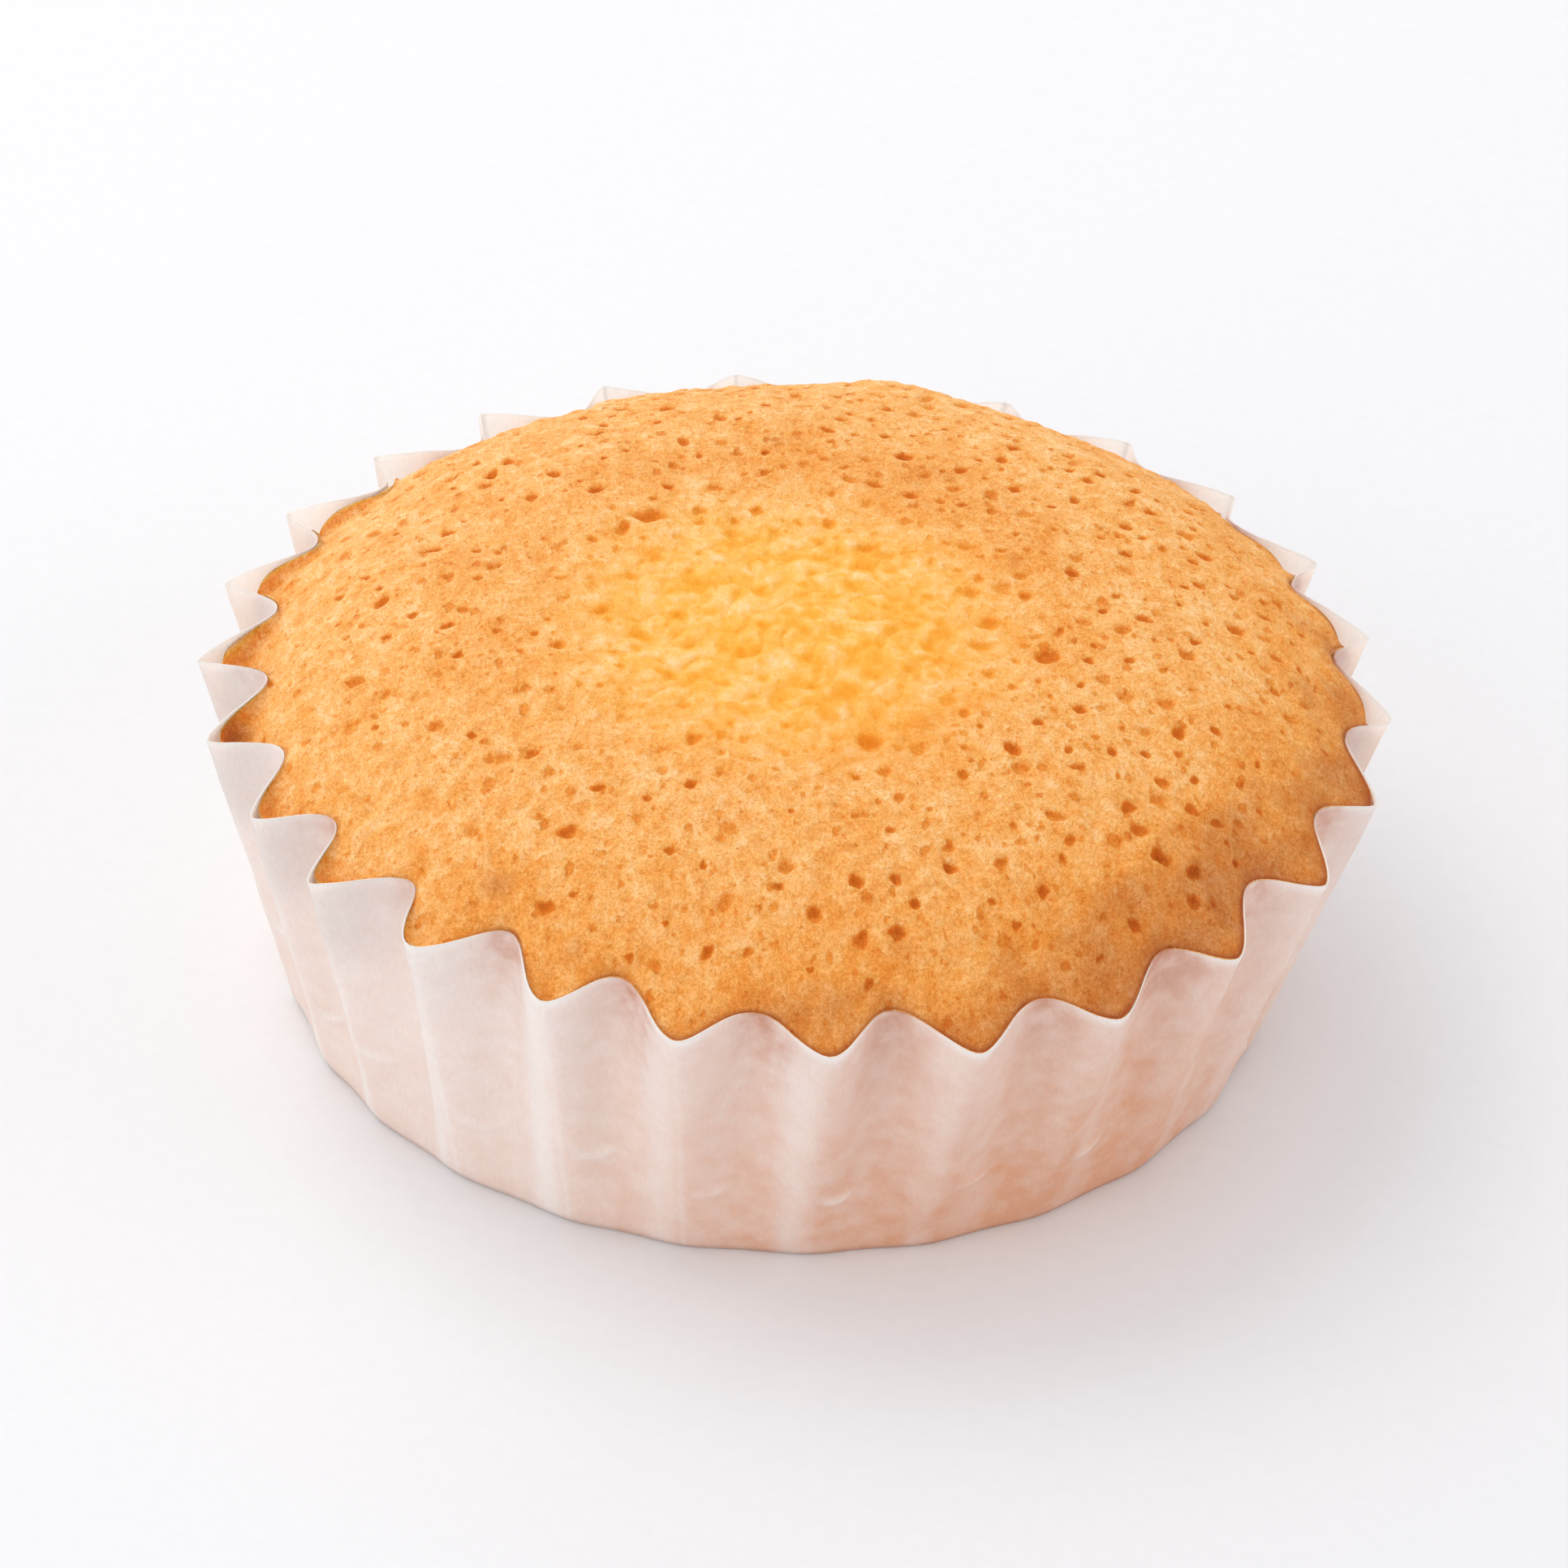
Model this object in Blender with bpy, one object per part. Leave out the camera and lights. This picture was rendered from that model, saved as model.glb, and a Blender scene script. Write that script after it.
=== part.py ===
# A round sponge cake baked in a pleated paper case, in metres.
# It rests on z = 0 with its front facing -Y. Angles run from the front toward +X.
import math

import bmesh
import bpy
import numpy as np

# Paper case
BASE_RADIUS = 0.03046
RIM_RADIUS = 0.03647
WALL_SLANT = 0.02075
FOLD_COUNT = 26
FIRST_FOLD = math.radians(-35.1)
RIM_FOLD_DEPTH = 0.00355
BASE_FOLD_DEPTH = 0.00025
INNER_CREASE_RISE = 0.00034
CREASE_LEAN = 0.020
PAPER = 0.0003

# Cake
GAP = 0.0003
TOP_HEIGHT = 0.0270
SHOULDER_RADIUS = 0.0330
SHOULDER_DROP = 0.0060
SHOULDER_POWER = 4.2
ROLL_WIDTH = 0.0014
LOBE_FADE = 0.0025
EDGE_BELOW_RIM = 0.0002
POCKET_DEPTH = 0.0025

# Burst bubbles in the crust
PORE_COUNT = 28
PORE_FIELD = 0.0290
PALE_PATCH_RADIUS = 0.0100
PORE_SPACING = 0.0030
PORE_SEED = 7

# Columns inside one fold, as phases: 0 is the outer crease and 180 the inner one
COLUMN_PHASES = np.radians([0, 32, 75, 125, 180, 235, 285, 328])


def wave(angle, turns, size, peak):
    return size * np.cos(turns * angle - math.radians(peak))


def crease_wander(angle):
    # The creases aren't quite evenly spaced
    first = wave(angle, 1, 0.015, 168)
    second = wave(angle, 2, 0.010, -169)
    third = wave(angle, 3, 0.0077, -115)
    return first + second + third


def rim_radius(angle):
    # The paper was pushed a little out of round, widest at the right
    side = wave(angle, 1, 0.00068, 82)
    oval = wave(angle, 2, 0.00026, 120)
    corner = wave(angle, 3, 0.00038, 51)
    return RIM_RADIUS + side + oval + corner


def fold_depth(angle):
    # The rising cake pushed the folds flatter at the front right, where it fills them
    return RIM_FOLD_DEPTH - wave(angle, 1, 0.00065, 60) + wave(angle, 7, 0.00022, 60)


phase = (2 * np.pi * np.arange(FOLD_COUNT)[:, None] + COLUMN_PHASES[None, :]).ravel()
even_angle = FIRST_FOLD + phase / FOLD_COUNT
fold = (0.5 - 0.5 * np.cos(phase)) ** 0.7
angle = even_angle + crease_wander(even_angle) + CREASE_LEAN * np.sin(even_angle) * fold
column_count = len(angle)

# How open the outer creases stand beyond the cake: not at all at the front, fully at the back
openness = np.clip((0.35 - np.cos(angle - math.radians(6))) / 0.8, 0, 1)


def inset(ring, distance):
    # Moves a closed outline inward by a distance, keeping its sides parallel
    flat = ring[:, :2]
    side = np.roll(flat, -1, axis=0) - flat
    side /= np.linalg.norm(side, axis=1)[:, None]
    inward = np.column_stack([-side[:, 1], side[:, 0]])
    before = np.roll(inward, 1, axis=0)
    spread = 1 + (before * inward).sum(axis=1)
    moved = ring.copy()
    moved[:, :2] += distance * (before + inward) / spread[:, None]
    return moved


def wall_ring(height_share, distance=0.0):
    # The wall is straight from floor to rim. The paper was cut from a flat disc, so every
    # line down the wall is about equally long, and the steeper inner creases stand higher.
    rim = rim_radius(angle) - fold_depth(angle) * fold
    foot = BASE_RADIUS - BASE_FOLD_DEPTH * fold
    run = rim - foot
    rise = np.sqrt(WALL_SLANT ** 2 - run ** 2) + INNER_CREASE_RISE * fold
    radius = foot + run * height_share
    ring = np.column_stack([radius * np.sin(angle), -radius * np.cos(angle), rise * height_share])
    return inset(ring, distance * 1.03)


def crust_height(x, y):
    # A broad dome that turns down at its shoulder, lowest at the left, with a few soft swellings
    radius = np.hypot(x, y) / SHOULDER_RADIUS
    turn = np.arctan2(x, -y)
    near = np.minimum(radius, 1) ** SHOULDER_POWER
    beyond = 0.11 * np.tanh(np.maximum(radius - 1, 0) / 0.11)
    drop = SHOULDER_DROP - wave(turn, 1, 0.00104, 73) - wave(turn, 2, 0.0004, 0)
    height = TOP_HEIGHT - drop * (near + SHOULDER_POWER * beyond)
    height = height + 0.00016 * np.sin(x / 0.0043 + 0.7) * np.cos(y / 0.0051 + 0.4)
    height = height + 0.00014 * np.sin((x + y) / 0.0032 + 2.1)
    height = height + 0.0005 * np.exp(-((x - 0.006) ** 2 + (y - 0.030) ** 2) / 0.0028 ** 2)
    return height


def new_object(name, mesh, material):
    mesh.update()
    mesh.shade_smooth()
    mesh.set_sharp_from_angle(angle=math.radians(50))
    mesh.materials.append(material)
    obj = bpy.data.objects.new(name, mesh)
    bpy.context.scene.collection.objects.link(obj)
    return obj


def plain_material(name, colour, roughness):
    material = bpy.data.materials.new(name)
    material.use_nodes = True
    shader = material.node_tree.nodes["Principled BSDF"]
    shader.inputs["Base Color"].default_value = (*colour, 1)
    shader.inputs["Roughness"].default_value = roughness
    shader.inputs["Metallic"].default_value = 0
    material.diffuse_color = (*colour, 1)
    return material


def add_ring(bm, ring):
    return [bm.verts.new(point) for point in ring]


def join_rings(bm, lower, upper):
    # Quads between two rings with the same number of points, the lower one further out or down
    count = len(lower)
    for i in range(count):
        j = (i + 1) % count
        bm.faces.new((lower[i], lower[j], upper[j], upper[i]))


def join_to_half(bm, outer, inner):
    # Three triangles for each pair of points where a ring goes on with half as many
    count = len(inner)
    for i in range(count):
        j = (i + 1) % count
        middle = outer[2 * i + 1]
        bm.faces.new((outer[2 * i], middle, inner[i]))
        bm.faces.new((middle, inner[j], inner[i]))
        bm.faces.new((middle, outer[(2 * i + 2) % len(outer)], inner[j]))


def close_ring(bm, ring, centre, facing_up):
    middle = bm.verts.new(centre)
    count = len(ring)
    for i in range(count):
        j = (i + 1) % count
        corners = (ring[i], ring[j], middle) if facing_up else (ring[j], ring[i], middle)
        bm.faces.new(corners)


def finish_mesh(bm, name):
    bmesh.ops.recalc_face_normals(bm, faces=bm.faces)
    bmesh.ops.triangulate(bm, faces=bm.faces)
    mesh = bpy.data.meshes.new(name)
    bm.to_mesh(mesh)
    bm.free()
    return mesh


def build_case():
    # One thin cup: the pleated wall, its cut edge and a flat floor
    bm = bmesh.new()
    floor_share = PAPER / WALL_SLANT
    foot = add_ring(bm, wall_ring(0))
    rim = add_ring(bm, wall_ring(1))
    inner_rim = add_ring(bm, wall_ring(1, PAPER))
    inner_foot_ring = wall_ring(floor_share, PAPER)
    inner_foot_ring[:, 2] = PAPER
    inner_foot = add_ring(bm, inner_foot_ring)
    join_rings(bm, foot, rim)
    join_rings(bm, rim, inner_rim)
    join_rings(bm, inner_rim, inner_foot)
    close_ring(bm, inner_foot, (0, 0, PAPER), True)
    close_ring(bm, foot, (0, 0, 0), False)
    return finish_mesh(bm, "paper_case")


def cake_wall_ring(height_share):
    # The crumb fills each crease, but where the crease stands open its tongue ends
    # short of the paper near the rim
    full = wall_ring(height_share, PAPER + GAP)
    radius = np.hypot(full[:, 0], full[:, 1])
    near_rim = np.clip((height_share - 0.70) / 0.24, 0, 1)
    kept = 1 - POCKET_DEPTH / RIM_FOLD_DEPTH * openness * near_rim * (1 - fold)
    scale = 1 - (1 - kept) * fold_depth(angle) * height_share / radius
    full[:, :2] *= scale[:, None]
    return full


def build_cake():
    bm = bmesh.new()
    bottom_ring = cake_wall_ring((PAPER + GAP) / WALL_SLANT)
    bottom_ring[:, 2] = PAPER + GAP
    bottom = add_ring(bm, bottom_ring)
    close_ring(bm, bottom, (0, 0, PAPER + GAP), False)
    last = bottom
    for height_share in (0.35, 0.70, 0.86):
        ring = add_ring(bm, cake_wall_ring(height_share))
        join_rings(bm, last, ring)
        last = ring

    # The crust starts just under the paper's edge, a little lower where a crease stands open
    edge_ring = cake_wall_ring(1)
    edge_ring[:, 2] -= EDGE_BELOW_RIM + 0.0009 * openness * (1 - fold)
    edge = add_ring(bm, edge_ring)
    join_rings(bm, last, edge)
    last = edge

    # From the edge inward each ring moves toward the middle and loses its scallops
    edge_radius = np.hypot(edge_ring[:, 0], edge_ring[:, 1])
    turn = np.arctan2(edge_ring[:, 0], -edge_ring[:, 1])
    waist = rim_radius(angle) - fold_depth(angle) - PAPER - GAP
    lobe = np.maximum(edge_radius - waist, 0)
    steps = [(0.00025, 1), (0.0006, 1), (0.0011, 1), (0.0018, 1), (0.0028, 1), (0.0042, 1)]
    steps += [(0.0060, 2), (0.0080, 2), (0.0102, 2), (0.0126, 2), (0.0152, 2)]
    steps += [(0.0182, 4), (0.0216, 4), (0.0254, 4), (0.0292, 4)]
    skip = 1
    for inward, wanted_skip in steps:
        radius = waist - inward + lobe * math.exp(-inward / LOBE_FADE)
        x = radius * np.sin(turn)
        y = -radius * np.cos(turn)
        climb = 1 - (1 - min(inward / ROLL_WIDTH, 1)) ** 2.2
        z = edge_ring[:, 2] + (crust_height(x, y) - edge_ring[:, 2]) * climb
        ring = add_ring(bm, np.column_stack([x, y, z])[::wanted_skip])
        if wanted_skip == skip:
            join_rings(bm, last, ring)
        else:
            join_to_half(bm, last, ring)
        skip = wanted_skip
        last = ring
    close_ring(bm, last, (0, 0, crust_height(0.0, 0.0)), True)
    return finish_mesh(bm, "cake")


def pore_places():
    # The widest burst bubbles in millimetres (x, y, radius)
    widest = [
        (-13.5, -27.5, 0.55), (-11.0, -19.5, 0.40), (-5.5, -19.5, 0.42), (4.5, -26.5, 0.55),
        (10.0, -24.5, 0.40), (7.0, -29.5, 0.60), (15.5, -25.5, 0.40), (22.5, -20.0, 0.50),
        (24.5, -21.0, 0.42), (24.5, -23.0, 0.42), (21.0, -25.5, 0.42), (20.5, -17.5, 0.40),
        (23.5, -10.0, 0.42), (17.0, 4.5, 0.58), (15.5, -4.0, 0.62), (20.5, -4.0, 0.42),
        (14.0, -14.5, 0.45), (-23.0, -2.0, 0.42), (-24.5, -3.5, 0.40), (-20.0, -6.5, 0.42),
    ]
    places = [(x / 1000, y / 1000, radius / 1000) for x, y, radius in widest]

    # More of them strewn outside the pale middle, closer together toward the back right
    generator = np.random.default_rng(PORE_SEED)
    while len(places) < len(widest) + PORE_COUNT:
        x, y = generator.uniform(-PORE_FIELD, PORE_FIELD, 2)
        radius = generator.uniform(0.00034, 0.00050)
        chance = 0.55 + 0.45 * (0.4 * x + 0.9 * y) / PORE_FIELD
        wanted = generator.uniform() < chance
        reach = math.hypot(x, y)
        free = all(math.hypot(x - p[0], y - p[1]) > PORE_SPACING for p in places)
        if wanted and free and PALE_PATCH_RADIUS < reach < PORE_FIELD:
            places.append((x, y, radius))
    return places


def build_pores():
    # Small round hollows, a little wider than deep
    bm = bmesh.new()
    for x, y, radius in pore_places():
        z = float(crust_height(x, y))
        ball = bmesh.ops.create_icosphere(bm, subdivisions=1, radius=radius)
        for vert in ball["verts"]:
            vert.co.z *= 0.9
            vert.co.x += x
            vert.co.y += y
            vert.co.z += z + 0.1 * radius
    mesh = bpy.data.meshes.new("pores")
    bm.to_mesh(mesh)
    bm.free()
    return mesh


for obj in list(bpy.data.objects):
    bpy.data.objects.remove(obj, do_unlink=True)

crust = plain_material("baked_crust", (0.82, 0.40, 0.13), 0.75)
paper = plain_material("baking_paper", (0.83, 0.72, 0.66), 0.55)

madeleine = bpy.data.objects.new("madeleine", None)
bpy.context.scene.collection.objects.link(madeleine)
case = new_object("paper_case", build_case(), paper)
case.parent = madeleine
cake = new_object("cake", build_cake(), crust)
cake.parent = madeleine

pores = new_object("pores", build_pores(), crust)
pores.hide_render = True
pores.display_type = "WIRE"
cut = cake.modifiers.new("pores", "BOOLEAN")
cut.operation = "DIFFERENCE"
cut.solver = "EXACT"
cut.object = pores
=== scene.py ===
import math

import bpy
import numpy as np
from mathutils import Matrix, Vector


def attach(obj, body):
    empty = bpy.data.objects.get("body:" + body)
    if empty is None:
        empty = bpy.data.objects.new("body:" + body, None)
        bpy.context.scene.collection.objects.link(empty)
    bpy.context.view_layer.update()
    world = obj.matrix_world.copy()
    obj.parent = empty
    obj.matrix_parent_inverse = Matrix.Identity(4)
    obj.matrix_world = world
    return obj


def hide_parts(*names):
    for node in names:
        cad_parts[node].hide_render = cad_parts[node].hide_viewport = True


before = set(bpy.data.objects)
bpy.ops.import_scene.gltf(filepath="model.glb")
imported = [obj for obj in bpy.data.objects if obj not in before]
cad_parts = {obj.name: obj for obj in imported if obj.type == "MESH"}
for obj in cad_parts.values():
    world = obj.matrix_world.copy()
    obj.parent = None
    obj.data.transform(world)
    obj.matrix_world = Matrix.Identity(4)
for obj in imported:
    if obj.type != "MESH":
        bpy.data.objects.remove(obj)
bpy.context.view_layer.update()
mm = 0.001
print("frame loaded")


def linearColour(hexText):
    # sRGB hex to linear light
    share = np.array([int(hexText[i:i + 2], 16) for i in (1, 3, 5)]) / 255
    linear = np.where(share <= 0.04045, share / 12.92, ((share + 0.055) / 1.055) ** 2.4)
    return (float(linear[0]), float(linear[1]), float(linear[2]), 1.0)


def newMaterial(name):
    material = bpy.data.materials.new(name)
    material.use_nodes = True
    material.node_tree.nodes.clear()
    return material


def addNode(material, kind, values=None, links=None, stops=None, **settings):
    # One shader node: its settings, socket values, incoming links and, for a ramp, its colour
    # stops. A link from a node takes its first output. Inputs 1 to 4 of a map range are the lowest
    # and highest value that come in, then the two that they become.
    node = material.node_tree.nodes.new("ShaderNode" + kind)
    for name, value in settings.items():
        setattr(node, name, value)
    for socket, value in (values or {}).items():
        node.inputs[socket].default_value = value
    for socket, source in (links or {}).items():
        output = source.outputs[0] if hasattr(source, "outputs") else source
        material.node_tree.links.new(output, node.inputs[socket])
    if stops:
        ramp = node.color_ramp
        ramp.elements[0].position, ramp.elements[0].color = stops[0]
        ramp.elements[-1].position, ramp.elements[-1].color = stops[-1]
        for place, colour in stops[1:-1]:
            ramp.elements.new(place).color = colour
    return node


def wave(angle, turns, size, peakDegrees):
    # A cosine with this many crests a round, one of them at peakDegrees / turns
    return size * np.cos(turns * angle - math.radians(peakDegrees))


def bell(value, middle, width):
    # 1 at the middle, 0.37 one width away from it
    return np.exp(-((value - middle) / width) ** 2)


def spot(x, y, middleX, middleY, reach):
    # A round bell on the crust, its place and reach in millimetres
    return bell(np.hypot(x - middleX * mm, y - middleY * mm), 0, reach * mm)


def smoothStep(low, high, value):
    # 0 below low, 1 above high, with a soft S between them
    share = np.clip((value - low) / (high - low), 0, 1)
    return share * share * (3 - 2 * share)


def softNoise(points, shortest, longest, seed):
    # A sum of 48 plane waves with seeded directions, lengths and phases, spread about -1 to 1
    count = 48
    generator = np.random.default_rng(seed)
    direction = generator.normal(size=(3, count))
    direction /= np.linalg.norm(direction, axis=0)
    length = np.exp(generator.uniform(math.log(shortest), math.log(longest), count))
    phase = generator.uniform(0, 2 * np.pi, count)
    total = np.sin(points @ (direction * 2 * np.pi / length) + phase).sum(axis=-1)
    return total / math.sqrt(2 * count) / 1.2


def stitchRings(counts):
    # Faces over rings that follow each other in the point list, with a pole before the first and
    # after the last. Rings of one size are joined by quads. Where a ring has half as many points,
    # three triangles join each pair.
    starts = np.concatenate([[1], 1 + np.cumsum(counts)])
    first, last = np.arange(counts[0]), np.arange(counts[-1])
    quads = []
    triangles = [np.column_stack([starts[0] + np.roll(first, -1), starts[0] + first, 0 * first])]
    for k in range(len(counts) - 1):
        low, high = starts[k], starts[k + 1]
        here = np.arange(counts[k + 1])
        after = np.roll(here, -1)
        if counts[k] == counts[k + 1]:
            quads.append(np.column_stack([low + here, low + after, high + after, high + here]))
        else:
            middle = low + 2 * here + 1
            triangles.append(np.column_stack([low + 2 * here, middle, high + here]))
            triangles.append(np.column_stack([middle, high + after, high + here]))
            triangles.append(np.column_stack([middle, low + 2 * after, high + after]))
    pole = 0 * last + starts[-1]
    triangles.append(np.column_stack([starts[-2] + last, starts[-2] + np.roll(last, -1), pole]))
    return np.vstack(quads).tolist() + np.vstack(triangles).tolist()


def newPiece(name, points, faces, material):
    mesh = bpy.data.meshes.new(name)
    mesh.from_pydata(points.tolist(), [], faces)
    mesh.shade_smooth()
    mesh.materials.append(material)
    piece = bpy.data.objects.new(name, mesh)
    bpy.context.scene.collection.objects.link(piece)
    return piece


def paint(piece, marks):
    # For each mark one number at each point, for the material to read
    for name, values in marks.items():
        layer = piece.data.attributes.new(name, "FLOAT", "POINT")
        layer.data.foreach_set("value", np.asarray(values, dtype=np.float32).ravel())


# The paper and the cake inside it share the pleats
pleats = {
    "foldCount": 26, "firstFold": math.radians(-35.1),
    "baseRadius": 30.46 * mm, "rimRadius": 36.47 * mm, "wallSlant": 20.75 * mm,
    "baseDepth": 0.25 * mm, "rimDepth": 3.55 * mm,
    "innerRise": 0.34 * mm,  # the inner creases are steeper, so they stand higher
    "lean": 0.020,  # how far inner creases are turned toward the back
    "levelStep": 1.03,  # how much thicker the leaning wall is when cut level than when cut square
    "bulges": ((-50, 0.17, 0.35), (-26, 0.13, -0.20), (-10, 0.12, 0.20), (22, 0.26, 0.35),
               (54, 0.14, -0.30)),  # degrees, width in radians, millimetres
    "crescentRise": 0.20 * mm, "hollowDepth": 0.18 * mm,
    "waveRise": 0.07 * mm, "wrinkleRise": 0.025 * mm,
    "creaseSeed": 12, "waveSeed": 41, "wrinkleSeed": 42,
}


def rimRadius(angle):
    # The mean radius, plus waves with one, two and three crests a round, which make it widest at
    # the right, plus a bell for each small bulge or dent where the cake pressed or hung back
    radius = pleats["rimRadius"] + wave(angle, 1, 0.68 * mm, 82)
    radius = radius + wave(angle, 2, 0.26 * mm, 120) + wave(angle, 3, 0.38 * mm, 51)
    for place, width, size in pleats["bulges"]:
        radius = radius + size * mm * bell(angle, math.radians(place), width)
    return radius


def foldDepth(angle):
    # The rim's depth less a wave, as the rising cake pressed the folds flatter at the front right,
    # plus a short wave, less a bell at each of the two folds that it pressed most
    pressed = 0.9 * mm * bell(angle, math.radians(-3), 0.09)
    pressed = pressed + 0.3 * mm * bell(angle, math.radians(22), 0.16)
    return pleats["rimDepth"] - wave(angle, 1, 0.65 * mm, 60) + wave(angle, 7, 0.18 * mm, 60) - pressed


def pleatColumns(perFold):
    # Evenly stepped phases through all folds. fold is half of 1 - cos(phase), to a power below 1:
    # it is 0 at an outer crease and 1 at an inner one, and a low power keeps the outer one crisp.
    count = pleats["foldCount"]
    phase = np.arange(count * perFold) * 2 * np.pi / perFold
    even = (pleats["firstFold"] + phase / count + np.pi) % (2 * np.pi) - np.pi
    side = np.degrees(even)
    # How far the outer creases stand open beyond the cake: closed in front, loose at the front
    # left and fully open at the back
    openness = smoothStep(68, 94, side) + 0.32 * smoothStep(28, 48, -side) + 0.68 * smoothStep(68, 118, -side)
    openness = openness + 0.35 * smoothStep(108, 135, np.abs(side))
    # The front folds are rounder than those round the back
    power = 0.78 + wave(even, 1, 0.14, -15) - 0.12 * smoothStep(28, 80, -side) * smoothStep(180, 130, -side)
    fold = (0.5 - 0.5 * np.cos(phase)) ** power
    wander = wave(even, 1, 0.015, 168) + wave(even, 2, 0.010, -169) + wave(even, 3, 0.0077, -115)
    # Two outer creases at the front left are pushed round, two in front a little the other way
    pushed = 0.012 * bell(side, 12, 10) - 0.045 * bell(side, -43, 11.5)
    angle = even + wander + pleats["lean"] * np.sin(even) * fold + pushed * (1 - fold)
    angle = (angle + np.pi) % (2 * np.pi) - np.pi
    number = np.floor(phase / (2 * np.pi) + 0.5).astype(int) % count
    turn = (phase + np.pi) % (2 * np.pi) - np.pi
    return {"fold": fold, "angle": angle, "openness": openness, "number": number, "turn": turn}


def wallGrid(columns, share, distance):
    # Straight lines from the floor's edge to the pleated rim, all nearly as long, because the
    # paper was cut from a flat disc. Each level's outline then moves inward, square to itself.
    rim = rimRadius(columns["angle"]) - foldDepth(columns["angle"]) * columns["fold"]
    foot = pleats["baseRadius"] - pleats["baseDepth"] * columns["fold"]
    rise = np.sqrt(pleats["wallSlant"] ** 2 - (rim - foot) ** 2) + pleats["innerRise"] * columns["fold"]
    share = np.asarray(share)[:, None]
    radius = foot + (rim - foot) * share
    flat = np.stack([radius * np.sin(columns["angle"]), -radius * np.cos(columns["angle"])], axis=-1)
    side = np.roll(flat, -1, axis=1) - flat
    side /= np.linalg.norm(side, axis=-1)[..., None]
    inward = np.stack([-side[..., 1], side[..., 0]], axis=-1)
    before = np.roll(inward, 1, axis=1)
    spread = 1 + (before * inward).sum(axis=-1)
    reach = (np.asarray(distance) * pleats["levelStep"] / spread)[..., None]
    flat = flat + reach * (before + inward)
    return np.concatenate([flat, (rise * share)[..., None]], axis=-1)


def pleatRelief(columns, share):
    # How far the wall stands out: slow waves, and in each fold a small crescent that the forming
    # die pressed low on the right of the outer crease. The crescent is a bell across a curve with
    # its ends turned up, over a faint hollow that dies away upward. Returns the ridges as well.
    plain = wallGrid(columns, share, np.zeros((len(share), 1)))
    generator = np.random.default_rng(pleats["creaseSeed"])
    count = pleats["foldCount"]
    height = generator.uniform(4.9, 6.4, count)[columns["number"]] * mm
    place = generator.uniform(0.9, 1.7, count)[columns["number"]]
    width = generator.uniform(0.9, 1.35, count)[columns["number"]] * mm
    force = generator.uniform(0.5, 1.0, count)[columns["number"]]
    pitch = 2 * np.pi * pleats["baseRadius"] / count
    across = (columns["turn"] - place) / (2 * np.pi) * pitch
    above = plain[..., 2] - height - 0.45 * across ** 2 / mm
    window = np.exp(-(across / width) ** 4) * force
    ridge = bell(above, 0, 0.28 * mm)
    hollow = smoothStep(0, 0.5 * mm, above) * np.exp(-np.maximum(above, 0) / (1.8 * mm))
    crescent = window * (pleats["crescentRise"] * ridge - pleats["hollowDepth"] * hollow)
    free = smoothStep(0.02, 0.25, np.asarray(share)[:, None])  # the foot stays where the floor holds it
    waves = pleats["waveRise"] * softNoise(plain, 5 * mm, 11 * mm, pleats["waveSeed"])
    waves = waves + pleats["wrinkleRise"] * softNoise(plain, 2 * mm, 4 * mm, pleats["wrinkleSeed"])
    return free * waves + crescent, window * ridge


# The paper case
paper = {
    "thickness": 0.2 * mm,  # thinner than the solid, yet thick enough to keep as a closed shell
    "rimThinning": 0.6,  # share of the thickness that the rim lacks
    "perFold": 24,  # points across each fold
    "white": "#fefbf8",
    # warmTint: butter with the crumb seen through the clear paper, and in part painted warm bounce light
    "warmTint": "#e8ae8c",  # butter makes the paper clear, so that the crumb shows through
    "stain": "#cf8f74",
    "throughDry": 0.74, "throughWet": 0.10,  # share of light let through where air or crumb lies behind
    "fray": 0.05 * mm,  # how far the cut rim wanders up and down
    "stainReach": 3.4 * mm,  # how far down from the rim the stain runs
    "fraySeed": 43, "stainSeed": 5,
}


def paperThickness(share):
    # Even over most of the wall, and thinned in a soft step toward the cut rim, where it shows
    return paper["thickness"] * (1 - paper["rimThinning"] * smoothStep(0.88, 1.0, np.asarray(share)[:, None]))


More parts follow.
